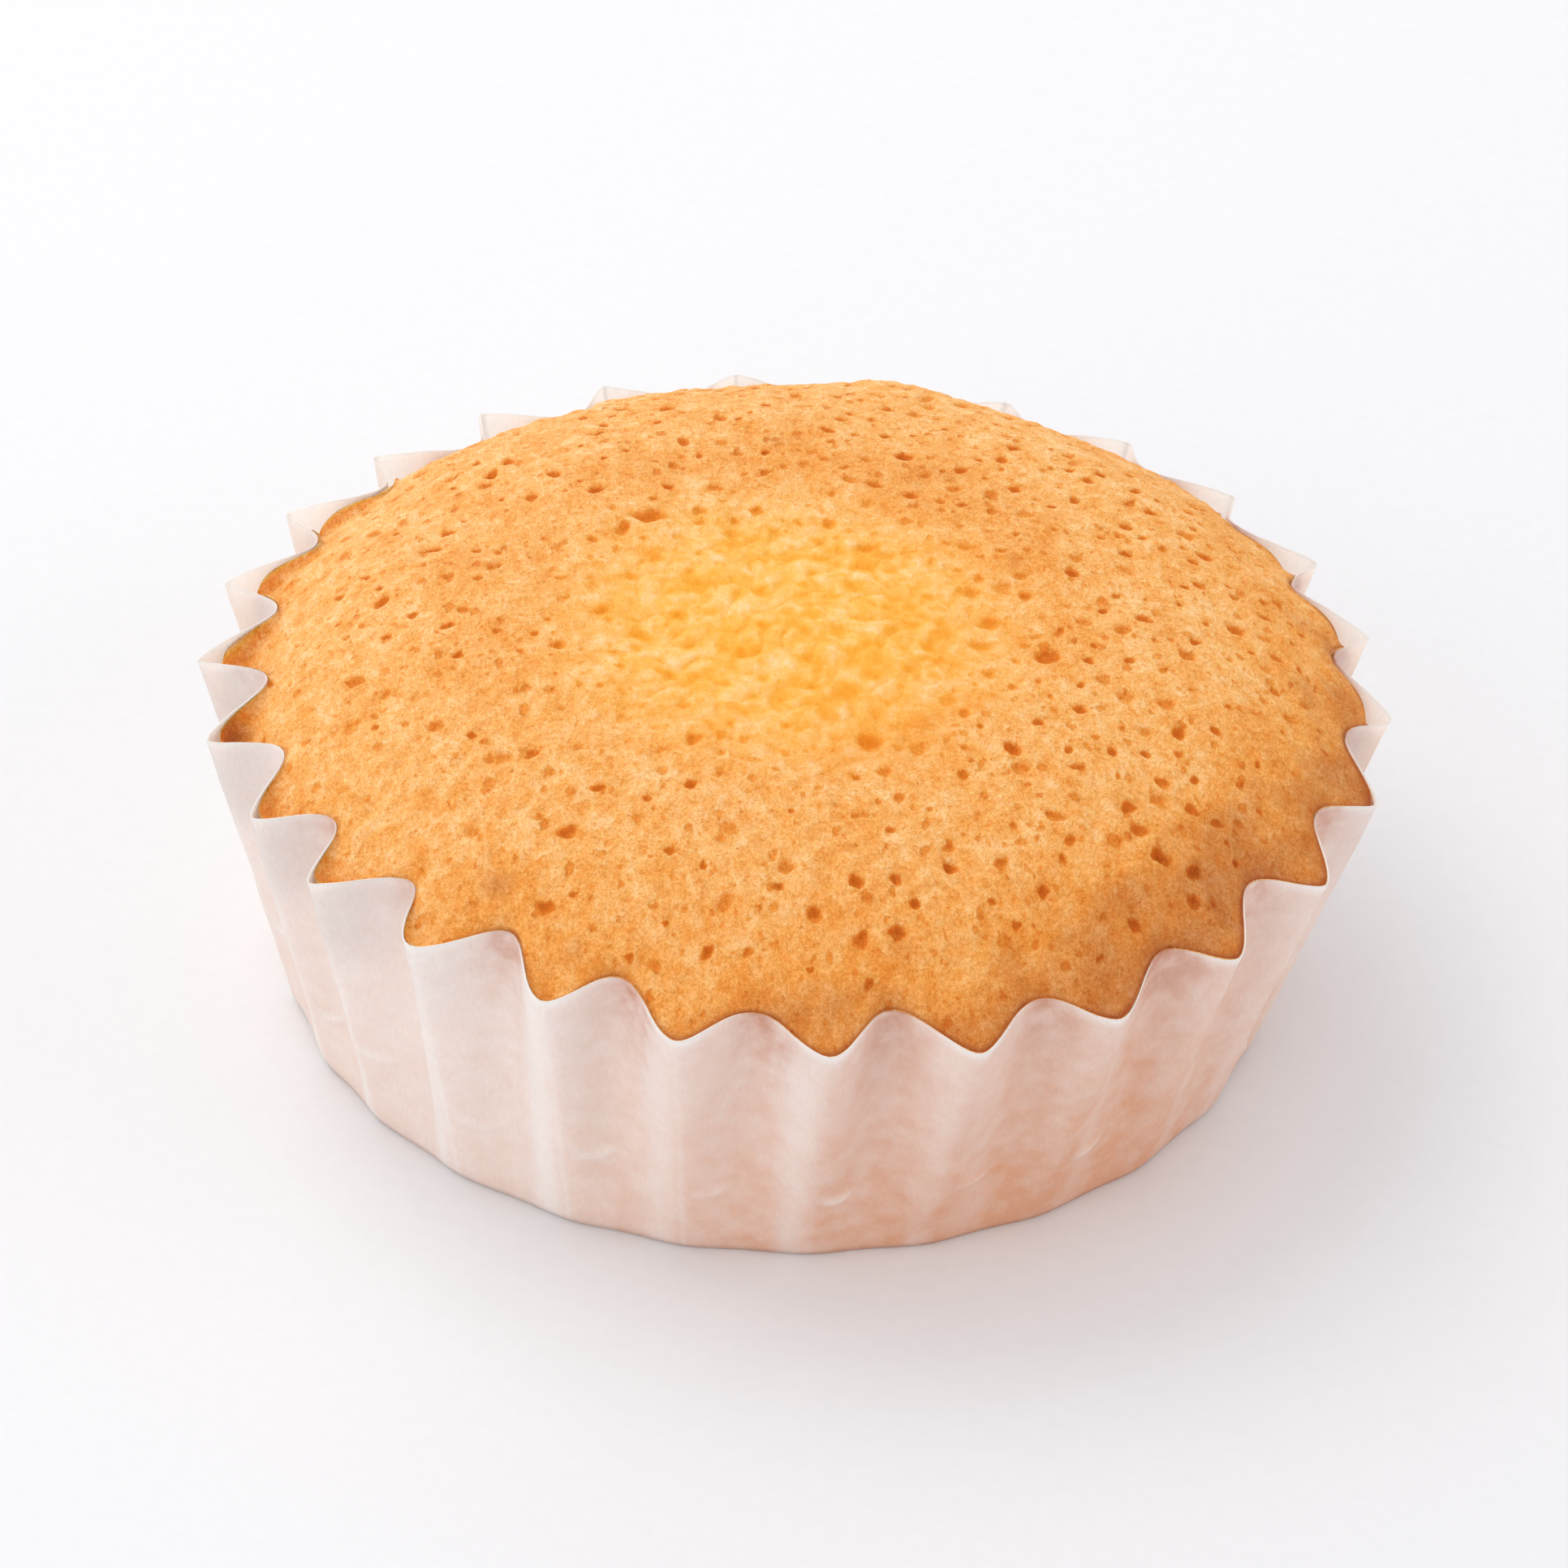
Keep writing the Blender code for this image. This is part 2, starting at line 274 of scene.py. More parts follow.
def paperMarks(columns, wallShare, ridges):
    # What the material reads. behind: crumb lies right behind the paper. pale: flanks, creases,
    # crescent ridges and cut edge, as bells across each fold, partly paper that stayed dry and partly
    # painted highlight. soakAndBounce: butter taken up, more toward the foot, partly painted warm
    # bounce light. stain: brown butter, a bell round each inner crease that fades down from the rim.
    angle, turn, fold, count = columns["angle"], columns["turn"], columns["fold"], pleats["foldCount"]
    innerNumber = columns["number"] - (turn < 0)
    generator = np.random.default_rng(paper["stainSeed"])
    strength = generator.uniform(0.7, 1.15, count)[innerNumber]
    shift = generator.uniform(-0.2, 0.8, count)[innerNumber]
    bandForce = generator.uniform(0.35, 0.70, count)[columns["number"]]
    belowRim = (1 - wallShare) * pleats["wallSlant"]
    untilBack = smoothStep(3.0, 2.2, angle)  # ends what only the right side has before the back

    # The left half of each fold is pale, partly dry paper and partly a painted highlight on the
    # flank that faces the light from the left: least at 75 degrees to the right, more again behind
    # that, and in a wider band at the front left. On the right the other half is a little pale too.
    frontLeft = bell(angle, math.radians(-20), 0.42)
    bandForce = np.clip(bandForce - wave(angle, 1, 0.46, 75) + 0.35 * bell(angle, 1.9, 0.5), 0.05, 0.9)
    bandWidth = 0.60 + 0.35 * wallShare + 0.25 * frontLeft
    flank = np.exp(-np.abs((turn + 0.75 + 0.45 * frontLeft) / bandWidth) ** 2.3)
    flank = bandForce * flank * (0.88 + 0.12 * wallShare)
    farFlank = 0.20 * smoothStep(0, 0.4, angle) * untilBack * bell(turn, 1.5, 0.9)
    # crest: a painted highlight along each outer crease
    crest = bell(turn, -0.04, 0.17) * np.clip(0.30 - wave(angle, 1, 0.42, 80), 0.05, 1)
    # A painted highlight along the cut rim, whose thin top catches the light, widest under each
    # tongue of crust
    lip = (0.20 + 0.60 * (1 - fold) ** 1.5) * mm
    cutEdge = (0.95 - 0.80 * fold ** 1.5) * bell(belowRim, 0, lip)
    # The crescent ridges are made pale too, as a painted highlight
    pale = np.maximum(np.maximum(flank + farFlank, crest), np.maximum(cutEdge, 0.6 * ridges))

    # Butter has soaked most of the front right and least of the back left. It is also drier round
    # 30 degrees to the left and beyond 45 degrees to the right. The rise toward the foot, and the
    # warm tint as a whole, is partly butter and partly painted warm bounce light.
    dry = 0.22 * bell(angle, math.radians(-30), 0.50) + 0.28 * smoothStep(0.78, 1.12, angle) * untilBack
    soakAndBounce = (1.18 - 0.50 * wallShare) * (0.55 + wave(angle, 1, 0.35, 52) - dry)
    # Where a fold stands open, air and not crumb lies behind the upper part of its outer crease
    behind = 1 - np.minimum(columns["openness"], 1) * (1 - fold ** 2.5) * smoothStep(0.62, 0.82, wallShare)

    # The front right is stained most, and of three folds farther right two more and one less
    strength = strength * (0.74 + wave(angle, 1, 0.49, 35))
    for place, change in ((48, 0.40), (59, -0.40), (74, 0.45)):
        strength = strength + change * bell(angle, math.radians(place), 0.10)
    fromInner = turn % (2 * np.pi) - np.pi - shift - 1.1 * bell(angle, math.radians(48), 0.10)
    stain = strength * bell(fromInner, 0, 1.3) * np.exp(-(belowRim / paper["stainReach"]) ** 1.3)
    # The stain keeps clear of the cut edge except at the inner creases
    clear = smoothStep(0.1 * mm, 0.5 * mm, belowRim)
    stain = stain * (clear + (1 - clear) * fold ** 2)
    return {"behind": behind, "pale": pale, "stain": stain, "soakAndBounce": soakAndBounce}


def buildPaper(material):
    # A profile carried round the pleats: floor, rounded foot, wall, cut rim and back down inside.
    # A floor ring is the wall's foot drawn toward the middle by a fixed share of its radius.
    columns = pleatColumns(paper["perFold"])
    share = np.concatenate([np.linspace(0.03, 0.15, 4), np.linspace(0.165, 0.38, 19),
                            np.linspace(0.42, 0.96, 17), [0.985, 1.0]])
    inside = np.concatenate([[1.0, 0.985], np.linspace(0.96, 0.06, 17), [0.03]])
    outerRelief, outerRidge = pleatRelief(columns, share)
    innerRelief, innerRidge = pleatRelief(columns, inside)
    outer = wallGrid(columns, share, -outerRelief)
    inner = wallGrid(columns, inside, paperThickness(inside) - innerRelief)
    frayed = paper["fray"] * softNoise(outer[-1], 1.5 * mm, 5 * mm, paper["fraySeed"])
    outer[-1, :, 2] += frayed
    inner[0, :, 2] += frayed
    foot = wallGrid(columns, [0.0], np.zeros((1, 1)))[0]

    def floorRing(shrink, height):
        ring = foot * (1 - shrink / pleats["baseRadius"])
        ring[:, 2] = height
        return ring

    thick = paper["thickness"]
    under = [floorRing(pleats["baseRadius"] - reach * mm, 0) for reach in (8, 16, 23, 28)]
    under += [floorRing(0.45 * mm, 0), floorRing(0.14 * mm, 0.07 * mm)]
    over = [floorRing(0.30 * mm, thick + 0.08 * mm), floorRing(0.8 * mm, thick)]
    over += [floorRing(pleats["baseRadius"] - reach * mm, thick) for reach in (26, 18, 9)]
    rings = under + list(outer) + list(inner) + over
    points = np.vstack([[0, 0, 0]] + rings + [[0, 0, thick]])
    piece = newPiece("paperCase", points, stitchRings([len(foot)] * len(rings)), material)

    wallShare = np.concatenate([np.zeros(len(under)), share, inside, np.zeros(len(over))])[:, None]
    blank = np.zeros((1, len(foot)))
    ridges = np.vstack([blank] * len(under) + [outerRidge, innerRidge] + [blank] * len(over))
    marks = paperMarks(columns, wallShare, ridges)
    paint(piece, {name: np.concatenate([[rows[0, 0]], rows.ravel(), [rows[-1, 0]]])
                  for name, rows in marks.items()})
    return piece


def bakingPaper():
    # Greaseproof baking paper, calendered smooth and die-pressed into pleats. Its faint gloss and
    # the light that comes through give a soft, milky white, and butter turns it clear and warm.
    material = newMaterial("greaseproofPaperPressed")
    place = addNode(material, "TexCoord")
    inMm = addNode(material, "VectorMath", {1: (1000, 1000, 1000)}, {0: place.outputs["Object"]},
                   operation="MULTIPLY")
    painted = {name: addNode(material, "Attribute", attribute_name=name).outputs["Fac"]
               for name in ("behind", "pale", "stain", "soakAndBounce")}
    # Cloudy pulp, clumps of about 1.5 mm
    cloud = addNode(material, "TexNoise", {"Scale": 0.65, "Detail": 3.0, "Roughness": 0.55}, {"Vector": inMm})
    # Fibres are 0.02 mm thick in life and drawn at 0.12 mm, so that they show
    squeezed = addNode(material, "VectorMath", {1: (1, 1, 0.35)}, {0: inMm}, operation="MULTIPLY")
    fibre = addNode(material, "TexNoise", {"Scale": 5.0, "Detail": 3.0, "Roughness": 0.6},
                    {"Vector": squeezed})
    # Fine wrinkles across the folds, left by the stretching of the wall
    drawn = addNode(material, "VectorMath", {1: (0.45, 0.45, 2.2)}, {0: inMm}, operation="MULTIPLY")
    crepe = addNode(material, "TexNoise", {"Scale": 0.8, "Detail": 3.0, "Roughness": 0.6}, {"Vector": drawn})

    # The warm tint, butter with the crumb seen through it and in part painted warm bounce light,
    # shows where crumb lies behind the paper, in clouds, and hardly on the pale places
    cloudy = addNode(material, "MapRange", {1: 0.3, 2: 0.7, 3: 0.84, 4: 1.14}, {0: cloud})
    warmTint = addNode(material, "Math", {}, {0: painted["soakAndBounce"], 1: cloudy}, operation="MULTIPLY")
    dryAndLitShare = addNode(material, "Math", {1: 0.85}, {0: painted["pale"]}, operation="MULTIPLY")
    notPale = addNode(material, "Math", {0: 1.0}, {1: dryAndLitShare}, operation="SUBTRACT")
    weighting = addNode(material, "Math", {}, {0: warmTint, 1: notPale}, operation="MULTIPLY")
    weighting = addNode(material, "Math", {}, {0: weighting, 1: painted["behind"]}, operation="MULTIPLY", use_clamp=True)
    colour = addNode(material, "Mix", {6: linearColour(paper["white"]), 7: linearColour(paper["warmTint"])},
                     {0: weighting}, data_type="RGBA")
    stainCloud = addNode(material, "MapRange", {1: 0.35, 2: 0.65, 3: 0.35, 4: 1.0}, {0: cloud})
    stained = addNode(material, "Math", {}, {0: painted["stain"], 1: stainCloud}, operation="MULTIPLY")
    stained = addNode(material, "Math", {1: 0.95}, {0: stained}, operation="MULTIPLY", use_clamp=True)
    colour = addNode(material, "Mix", {7: linearColour(paper["stain"])},
                     {0: stained, 6: colour.outputs[2]}, data_type="RGBA")
    grain = addNode(material, "MapRange", {1: 0.3, 2: 0.7, 3: 0.97, 4: 1.03}, {0: fibre})
    colour = addNode(material, "VectorMath", {}, {0: colour.outputs[2], "Scale": grain}, operation="SCALE")

    rough = addNode(material, "MapRange", {1: 0.3, 2: 0.7, 3: 0.42, 4: 0.56}, {0: cloud})
    height = addNode(material, "Math", {1: 0.4}, {0: cloud}, operation="MULTIPLY")
    for force, pattern in ((0.35, crepe), (0.05, fibre)):
        height = addNode(material, "Math", {1: force}, {0: pattern, 2: height}, operation="MULTIPLY_ADD")
    bump = addNode(material, "Bump", {"Strength": 0.5, "Distance": 0.2 * mm}, {"Height": height})
    shader = addNode(material, "BsdfPrincipled", {"IOR": 1.45, "Specular IOR Level": 0.4},
                     {"Base Color": colour, "Roughness": rough, "Normal": bump})
    glow = addNode(material, "BsdfTranslucent", {}, {"Color": colour, "Normal": bump})
    through = addNode(material, "MapRange", {1: 0.0, 2: 1.0, 3: paper["throughDry"], 4: paper["throughWet"]},
                      {0: painted["behind"]})
    both = addNode(material, "MixShader", {}, {0: through, 1: shader, 2: glow})
    addNode(material, "OutputMaterial", {}, {"Surface": both})
    return material


paperCase = buildPaper(bakingPaper())
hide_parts("paper_case")
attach(paperCase, "root")
print("paper case:", len(paperCase.data.polygons), "faces")


# The cake
cake = {
    "clearance": 0.03 * mm,  # between the paper's inner face and the crumb
    "standBack": 0.35 * mm,  # how much farther the crumb keeps off the lower wall
    "perFold": 28, "rowStep": 0.205 * mm,  # points across each fold, and the step between rings on top
    "topHeight": 27.0 * mm, "shoulderRadius": 33.0 * mm, "shoulderDrop": 6.0 * mm, "shoulderPower": 4.2,
    "shoulderRun": 0.11,  # share of the shoulder's radius beyond it in which the drop levels off
    "rollWidth": 0.65 * mm,  # how far inward the rolled edge reaches
    "lobeFade": 2.5 * mm,  # how fast the lobes die away toward the middle
    "pocketDepth": 1.9 * mm,  # how far the tongues stop short in the open folds
    "softReach": 13.5 * mm,  # of the moist, barely browned middle
    "dentDepth": 0.09 * mm, "furrowDepth": 0.18 * mm,
    "burntWidth": 0.20 * mm,  # of the dark line where the crust meets the paper
    "pitCount": 520, "pitField": 32 * mm, "pitGap": 0.45 * mm, "pitSeed": 7, "pitShapeSeed": 8,
    "dentSeed": 21, "roughSeed": 22, "furrowSeed": 23, "toneSeed": 24, "burntSeed": 25,
}

# The widest burst bubbles in millimetres (x, y, radius)
widestPits = [
    (22.5, -20.5, 0.65), (24.5, -20.5, 0.55), (24.5, -22.5, 0.50), (20.5, -17.5, 0.50), (23.5, -10.0, 0.55),
    (27.0, -18.5, 0.30), (24.5, -13.5, 0.35), (28.5, -14.0, 0.25), (8.0, -27.5, 0.40), (10.0, -24.5, 0.50),
    (15.5, -25.0, 0.40), (14.0, -27.5, 0.30), (19.0, -28.0, 0.25), (21.0, -25.5, 0.45), (13.5, -14.5, 0.60),
    (15.0, -11.5, 0.45), (17.5, -9.5, 0.45), (15.5, -4.5, 0.75), (18.0, -4.5, 0.35), (19.5, -13.0, 0.40),
    (21.5, -12.5, 0.35), (5.0, -14.5, 0.75), (3.5, -10.0, 0.80), (12.0, -1.5, 0.65), (11.5, -4.0, 0.55),
    (6.0, -3.5, 0.55), (-0.5, -10.5, 0.60), (-9.0, 8.0, 0.85), (-6.0, 9.0, 0.55), (-2.5, 9.5, 0.45),
    (2.0, 8.5, 0.45), (7.0, 12.0, 0.45), (-12.5, 11.0, 0.50), (-8.0, 11.5, 0.40), (-9.0, -4.5, 0.50),
    (-11.5, -2.0, 0.50), (-8.5, 3.5, 0.45), (-13.5, -27.5, 0.50), (-12.0, -27.0, 0.25), (-11.0, -19.5, 0.38),
    (-8.0, -20.5, 0.30), (-5.5, -19.5, 0.40), (-6.5, -24.5, 0.36), (-4.5, -25.5, 0.28), (0.0, -27.0, 0.30),
    (4.5, -26.5, 0.50), (7.0, -29.5, 0.55), (-4.0, -31.0, 0.42), (-8.5, -31.0, 0.30), (5.5, -32.5, 0.34),
    (2.0, -32.0, 0.22), (17.0, 4.5, 0.50), (20.5, -4.0, 0.38), (24.0, 5.5, 0.32), (-23.0, -2.0, 0.38),
    (-24.5, -3.5, 0.34), (-20.0, -6.5, 0.38), (6.5, 17.0, 0.55), (22.0, 14.0, 0.50), (13.5, 20.0, 0.50),
]


def crustHeight(x, y):
    # A broad dome: its top height, less a drop times the share of the shoulder's radius to a
    # power. Beyond the shoulder it runs straight on and levels off as a tanh. The drop is greatest
    # at the left. A product of two sines, a sine and a bell at the back add soft swellings.
    radius = np.hypot(x, y) / cake["shoulderRadius"]
    turn = np.arctan2(x, -y)
    near = np.minimum(radius, 1) ** cake["shoulderPower"]
    beyond = cake["shoulderRun"] * np.tanh(np.maximum(radius - 1, 0) / cake["shoulderRun"])
    drop = cake["shoulderDrop"] - wave(turn, 1, 1.04 * mm, 73) - wave(turn, 2, 0.4 * mm, 0)
    height = cake["topHeight"] - drop * (near + cake["shoulderPower"] * beyond)
    height = height + 0.16 * mm * np.sin(x / (4.3 * mm) + 0.7) * np.cos(y / (5.1 * mm) + 0.4)
    height = height + 0.14 * mm * np.sin((x + y) / (3.2 * mm) + 2.1)
    return height + 0.5 * mm * spot(x, y, 6, 30, 2.8)


def cakeWall(columns, share):
    # The paper's inner face moved inward. The crumb fills each crease, but where one stands open
    # its tongue stops short near the rim: the cube root of fold^3 + tip^3 is close to fold on the
    # flanks and to tip at the outer crease.
    level = np.asarray(share)[:, None]
    standBack = cake["standBack"] * (1 - smoothStep(0.5, 0.7, level))
    inset = paperThickness(share) + cake["clearance"] + standBack - pleatRelief(columns, share)[0]
    grid = wallGrid(columns, share, inset)
    tip = cake["pocketDepth"] / pleats["rimDepth"] * columns["openness"]
    retreat = (columns["fold"] ** 3 + tip ** 3) ** (1 / 3) - columns["fold"]
    start = 0.96 - 0.26 * columns["openness"]
    ledge = np.clip((level - start) / (0.04 + 0.23 * columns["openness"]), 0, 1)
    shorter = retreat * ledge * foldDepth(columns["angle"]) * level
    grid[..., :2] *= 1 - (shorter / np.hypot(grid[..., 0], grid[..., 1]))[..., None]
    return grid


def pitList():
    # The widest pits, then smaller ones strewn with more toward the back and right, none too close.
    # Their radii run from 0.24 to 0.60 mm, and the power makes most of them small.
    generator = np.random.default_rng(cake["pitSeed"])
    pits = [(x * mm, y * mm, radius * mm) for x, y, radius in widestPits]
    field = cake["pitField"]
    while len(pits) < cake["pitCount"]:
        x, y = generator.uniform(-field, field, 2)
        radius = (0.24 + 0.36 * generator.uniform() ** 1.7) * mm
        chance = 0.5 + 0.5 * (0.75 * x + 0.55 * y) / field
        free = all(math.hypot(x - p[0], y - p[1]) > cake["pitGap"] + radius + p[2] for p in pits)
        if generator.uniform() < chance and free and math.hypot(x, y) < field:
            pits.append((x, y, radius))
    return np.array(pits)


def pitRelief(x, y, soft):
    # Each pit is a bowl, (1 - d^2) to a power below 1 at d radii from its middle, with an uneven
    # outline, a soft funnel round it and a low lip. In the soft middle it is a wide, vague dimple.
    # Returns the height, how near to a pit's middle each point lies (1.3 - d), and the pit's force,
    # which is greatest on each pit's back left side, where the bowl is also deeper: the force darkens
    # the colour there, painted shade on the wall turned from the key lamp.
    generator = np.random.default_rng(cake["pitShapeSeed"])
    height, nearness, forces = np.zeros_like(x), np.zeros_like(x), np.zeros_like(x)
    for number, (pitX, pitY, radius) in enumerate(pitList()):
        stretch, tilt, force, lobes, phase = generator.uniform([0.75, 0, 0, 2, 0], [1.1, np.pi, 1, 4.99, 6.3])
        force = 0.75 + 0.25 * force if number < len(widestPits) else 0.12 + 0.88 * force ** 1.6
        force *= 0.6 + 0.4 * smoothStep(12 * mm, 24 * mm, math.hypot(pitX, pitY))
        near = (np.abs(x - pitX) < 3 * radius) & (np.abs(y - pitY) < 3 * radius)
        dx, dy = x[near] - pitX, y[near] - pitY
        along = (dx * math.cos(tilt) + dy * math.sin(tilt)) * stretch
        across = (dy * math.cos(tilt) - dx * math.sin(tilt)) / stretch
        uneven = 1 + 0.14 * np.sin(int(lobes) * np.arctan2(across, along) + phase)
        d = np.hypot(along, across) / (radius * uneven)
        funnel = bell(d, 0, 1.3)
        vague = soft[near]
        towardBackLeft = (0.87 * dy - 0.5 * dx) / radius
        bowl = 0.80 * np.clip(1 - d ** 2, 0, 1) ** 0.8 * (1 + 0.30 * np.clip(towardBackLeft, -1, 1))
        crisp = 0.11 * bell(d, 1.45, 0.35) - (0.35 + 0.65 * force) * (bowl + 0.18 * funnel)
        height[near] += radius * (crisp * (1 - vague) - 0.30 * funnel * vague)
        close = np.clip(1.3 - d, 0, 1) * (1 - vague) + 0.85 * funnel * vague
        nearness[near] = np.maximum(nearness[near], close)
        # Painted shade: each pit's colour force rises on its back left side, the wall turned from the key
        # lamp
        strongest = np.maximum(forces[near], force * np.clip(0.84 + 0.38 * towardBackLeft, 0.3, 1.2))
        forces[near] = np.where(d < 1.7, strongest, forces[near])
    return height, nearness, forces


def crustMarks(points, onTop, inwardOf, upFromEdge):
    # What the material reads. brownAndShade: paler in the middle, a darker ring round it, a shoulder
    # that is darkest at the front right, partly browning and partly painted shade on the side turned
    # from the key lamp, and a few toasted spots, one of them painted shade on a bulge near the rim.
    # burnt: a bell across the edge at the paper, patchy along it. moist: a bell where the crust tore
    # at the front left.
    x, y = points[:, 0], points[:, 1]
    radius, around = np.hypot(x, y), np.arctan2(x, -y)
    fromMiddle = np.hypot(x + 1.0 * mm, y + 0.5 * mm)
    middle = np.exp(-(fromMiddle / (12.5 * mm)) ** 3)
    ring = bell(fromMiddle, 16 * mm, 5 * mm)
    brownAndShade = 0.42 - 0.42 * middle + ring * (0.16 + wave(around, 1, 0.09, 160))
    # Darker toward the rim and most at the front right: browning, and in part painted shade on the side
    # turned from the key lamp
    brownAndShade = brownAndShade + smoothStep(26 * mm, 34 * mm, radius) * (0.10 + wave(around, 1, 0.20, 48))
    brownAndShade = brownAndShade + 0.15 * smoothStep(23 * mm, 31 * mm, radius) * bell(around, 0.96, 0.75)
    brownAndShade = brownAndShade + 0.07 * np.exp(-inwardOf / (0.7 * mm))
    brownAndShade = brownAndShade + 0.05 * softNoise(points, 6 * mm, 14 * mm, cake["toneSeed"])
    # Toasted spots; the one at (-16.5, -25.5) is painted shade on a bulge near the rim at the front left
    for markX, markY, reach, force in ((-33.4, -7.0, 1.4, 0.5), (-33.0, 2.0, 1.5, 0.25),
                                         (-16.5, -25.5, 1.4, 0.28), (-21.5, -22.0, 0.9, 0.2)):
        brownAndShade = brownAndShade + force * spot(x, y, markX, markY, reach)
    # The sides, where the paper kept the oven's heat off, stay pale
    brownAndShade = np.where(onTop, brownAndShade, 0.12)
    patchy = 0.50 + wave(around, 1, 0.45, 35) + 0.35 * softNoise(points, 2 * mm, 5 * mm, cake["burntSeed"])
    burnt = np.where(onTop, np.clip(bell(upFromEdge, 0, cake["burntWidth"]) * patchy, 0, 1), 0)
    return {"brownAndShade": brownAndShade, "burnt": burnt, "moist": spot(x, y, -13.5, -28.5, 4.5)}


def buildCake(material):
    # Rings from the bottom's middle up the wall, over the rolled edge and across the dome to its
    # middle. Each ring on top is the waist's outline drawn inward, plus the lobes that fill the
    # folds, which fade with distance inward. The edge climbs to the dome by 1 - (1 - s)^2 across
    # the roll's width, which is close to a quarter round.
    columns = pleatColumns(cake["perFold"])
    share = np.array([0.03, 0.22, 0.42, 0.60, 0.70, 0.76, 0.82, 0.88, 0.94, 1.0])
    wall = cakeWall(columns, share)
    wall[-1, :, 2] -= 0.5 * mm * columns["openness"] * (1 - columns["fold"]) ** 2
    edge = wall[-1]
    turn = np.arctan2(edge[:, 0], -edge[:, 1])
    waist = rimRadius(columns["angle"]) - foldDepth(columns["angle"]) - 0.2 * mm
    lobe = np.maximum(np.hypot(edge[:, 0], edge[:, 1]) - waist, 0)
    meanWaist = waist.mean()
    roll = np.array([0.02, 0.05, 0.12, 0.20, 0.30, 0.42, 0.56, 0.72, 0.89, 1.07, 1.26, 1.46]) * mm
    rows = np.arange(roll[-1] + cake["rowStep"], meanWaist - 0.2 * mm, cake["rowStep"])
    inward = np.concatenate([roll, rows])
    bottom = [wall[0] * [reach, reach, 1] for reach in (0.3, 0.62, 0.88)]
    rings = bottom + list(wall)
    inwardOf = [np.zeros(len(ring)) for ring in rings]
    upFromEdge = [np.zeros(len(ring)) for ring in rings]
    for step in inward:
        left = 1 - step / meanWaist
        radius = waist * left + lobe * math.exp(-step / cake["lobeFade"])
        x, y = radius * np.sin(turn), -radius * np.cos(turn)
        climb = 1 - (1 - min(step / cake["rollWidth"], 1)) ** 2
        z = edge[:, 2] + (crustHeight(x, y) - edge[:, 2]) * climb
        # Half as many points once the ring is under 14 mm, and a quarter under 7 mm
        skip = 1 + (left * meanWaist < 14 * mm) + 2 * (left * meanWaist < 7 * mm)
        rings.append(np.column_stack([x, y, z])[::skip])
        inwardOf.append(np.full(len(rings[-1]), step))
        upFromEdge.append(np.hypot(step, z - edge[:, 2])[::skip])
    points = np.vstack([[0, 0, wall[0, 0, 2]]] + rings + [[0, 0, crustHeight(0.0, 0.0)]])
    inwardOf = np.concatenate([[0]] + inwardOf + [[meanWaist]])
    upFromEdge = np.concatenate([[0]] + upFromEdge + [[meanWaist]])
    onTop = np.arange(len(points)) > 1 + sum(map(len, bottom)) + wall.shape[0] * wall.shape[1]
    piece = newPiece("spongeCake", points, stitchRings([len(ring) for ring in rings]), material)

    # Relief along the surface's own normals, none of it at the edge that meets the paper: dents,
    # a rougher shoulder, furrows in the soft middle and the pits
    normals = np.zeros(len(points) * 3, dtype=np.float32)
    piece.data.vertex_normals.foreach_get("vector", normals)
    normals = normals.reshape(-1, 3)
    x, y = points[:, 0], points[:, 1]
    fade = onTop * smoothStep(0.05 * mm, 0.7 * mm, inwardOf)
    soft = np.exp(-(np.hypot(x, y + 3.5 * mm) / cake["softReach"]) ** 5)
    rough = 0.05 + 0.08 * smoothStep(18 * mm, 30 * mm, np.hypot(x - 4 * mm, y - 4 * mm))
    dents = cake["dentDepth"] * softNoise(points, 2.6 * mm, 7 * mm, cake["dentSeed"])
    dents = dents + rough * mm * softNoise(points, 1.1 * mm, 2.4 * mm, cake["roughSeed"])
    furrow = softNoise(points * [1.1, 0.8, 0], 1.8 * mm, 3.4 * mm, cake["furrowSeed"])
    furrow = (1 - np.abs(furrow)) ** 3 * soft
    pitHeight, pitNear, pitForce = pitRelief(x, y, soft)
    relief = (dents - cake["furrowDepth"] * furrow + pitHeight) * fade
    piece.data.vertices.foreach_set("co", (points + normals * relief[:, None]).ravel())
    piece.data.update()

    paint(piece, crustMarks(points, onTop, inwardOf, upFromEdge))
    paint(piece, {"pit": np.maximum(pitNear, 0.45 * furrow) * fade,
                  "pitForce": np.maximum(pitForce, 0.5 * soft), "soft": soft * onTop})
    return piece


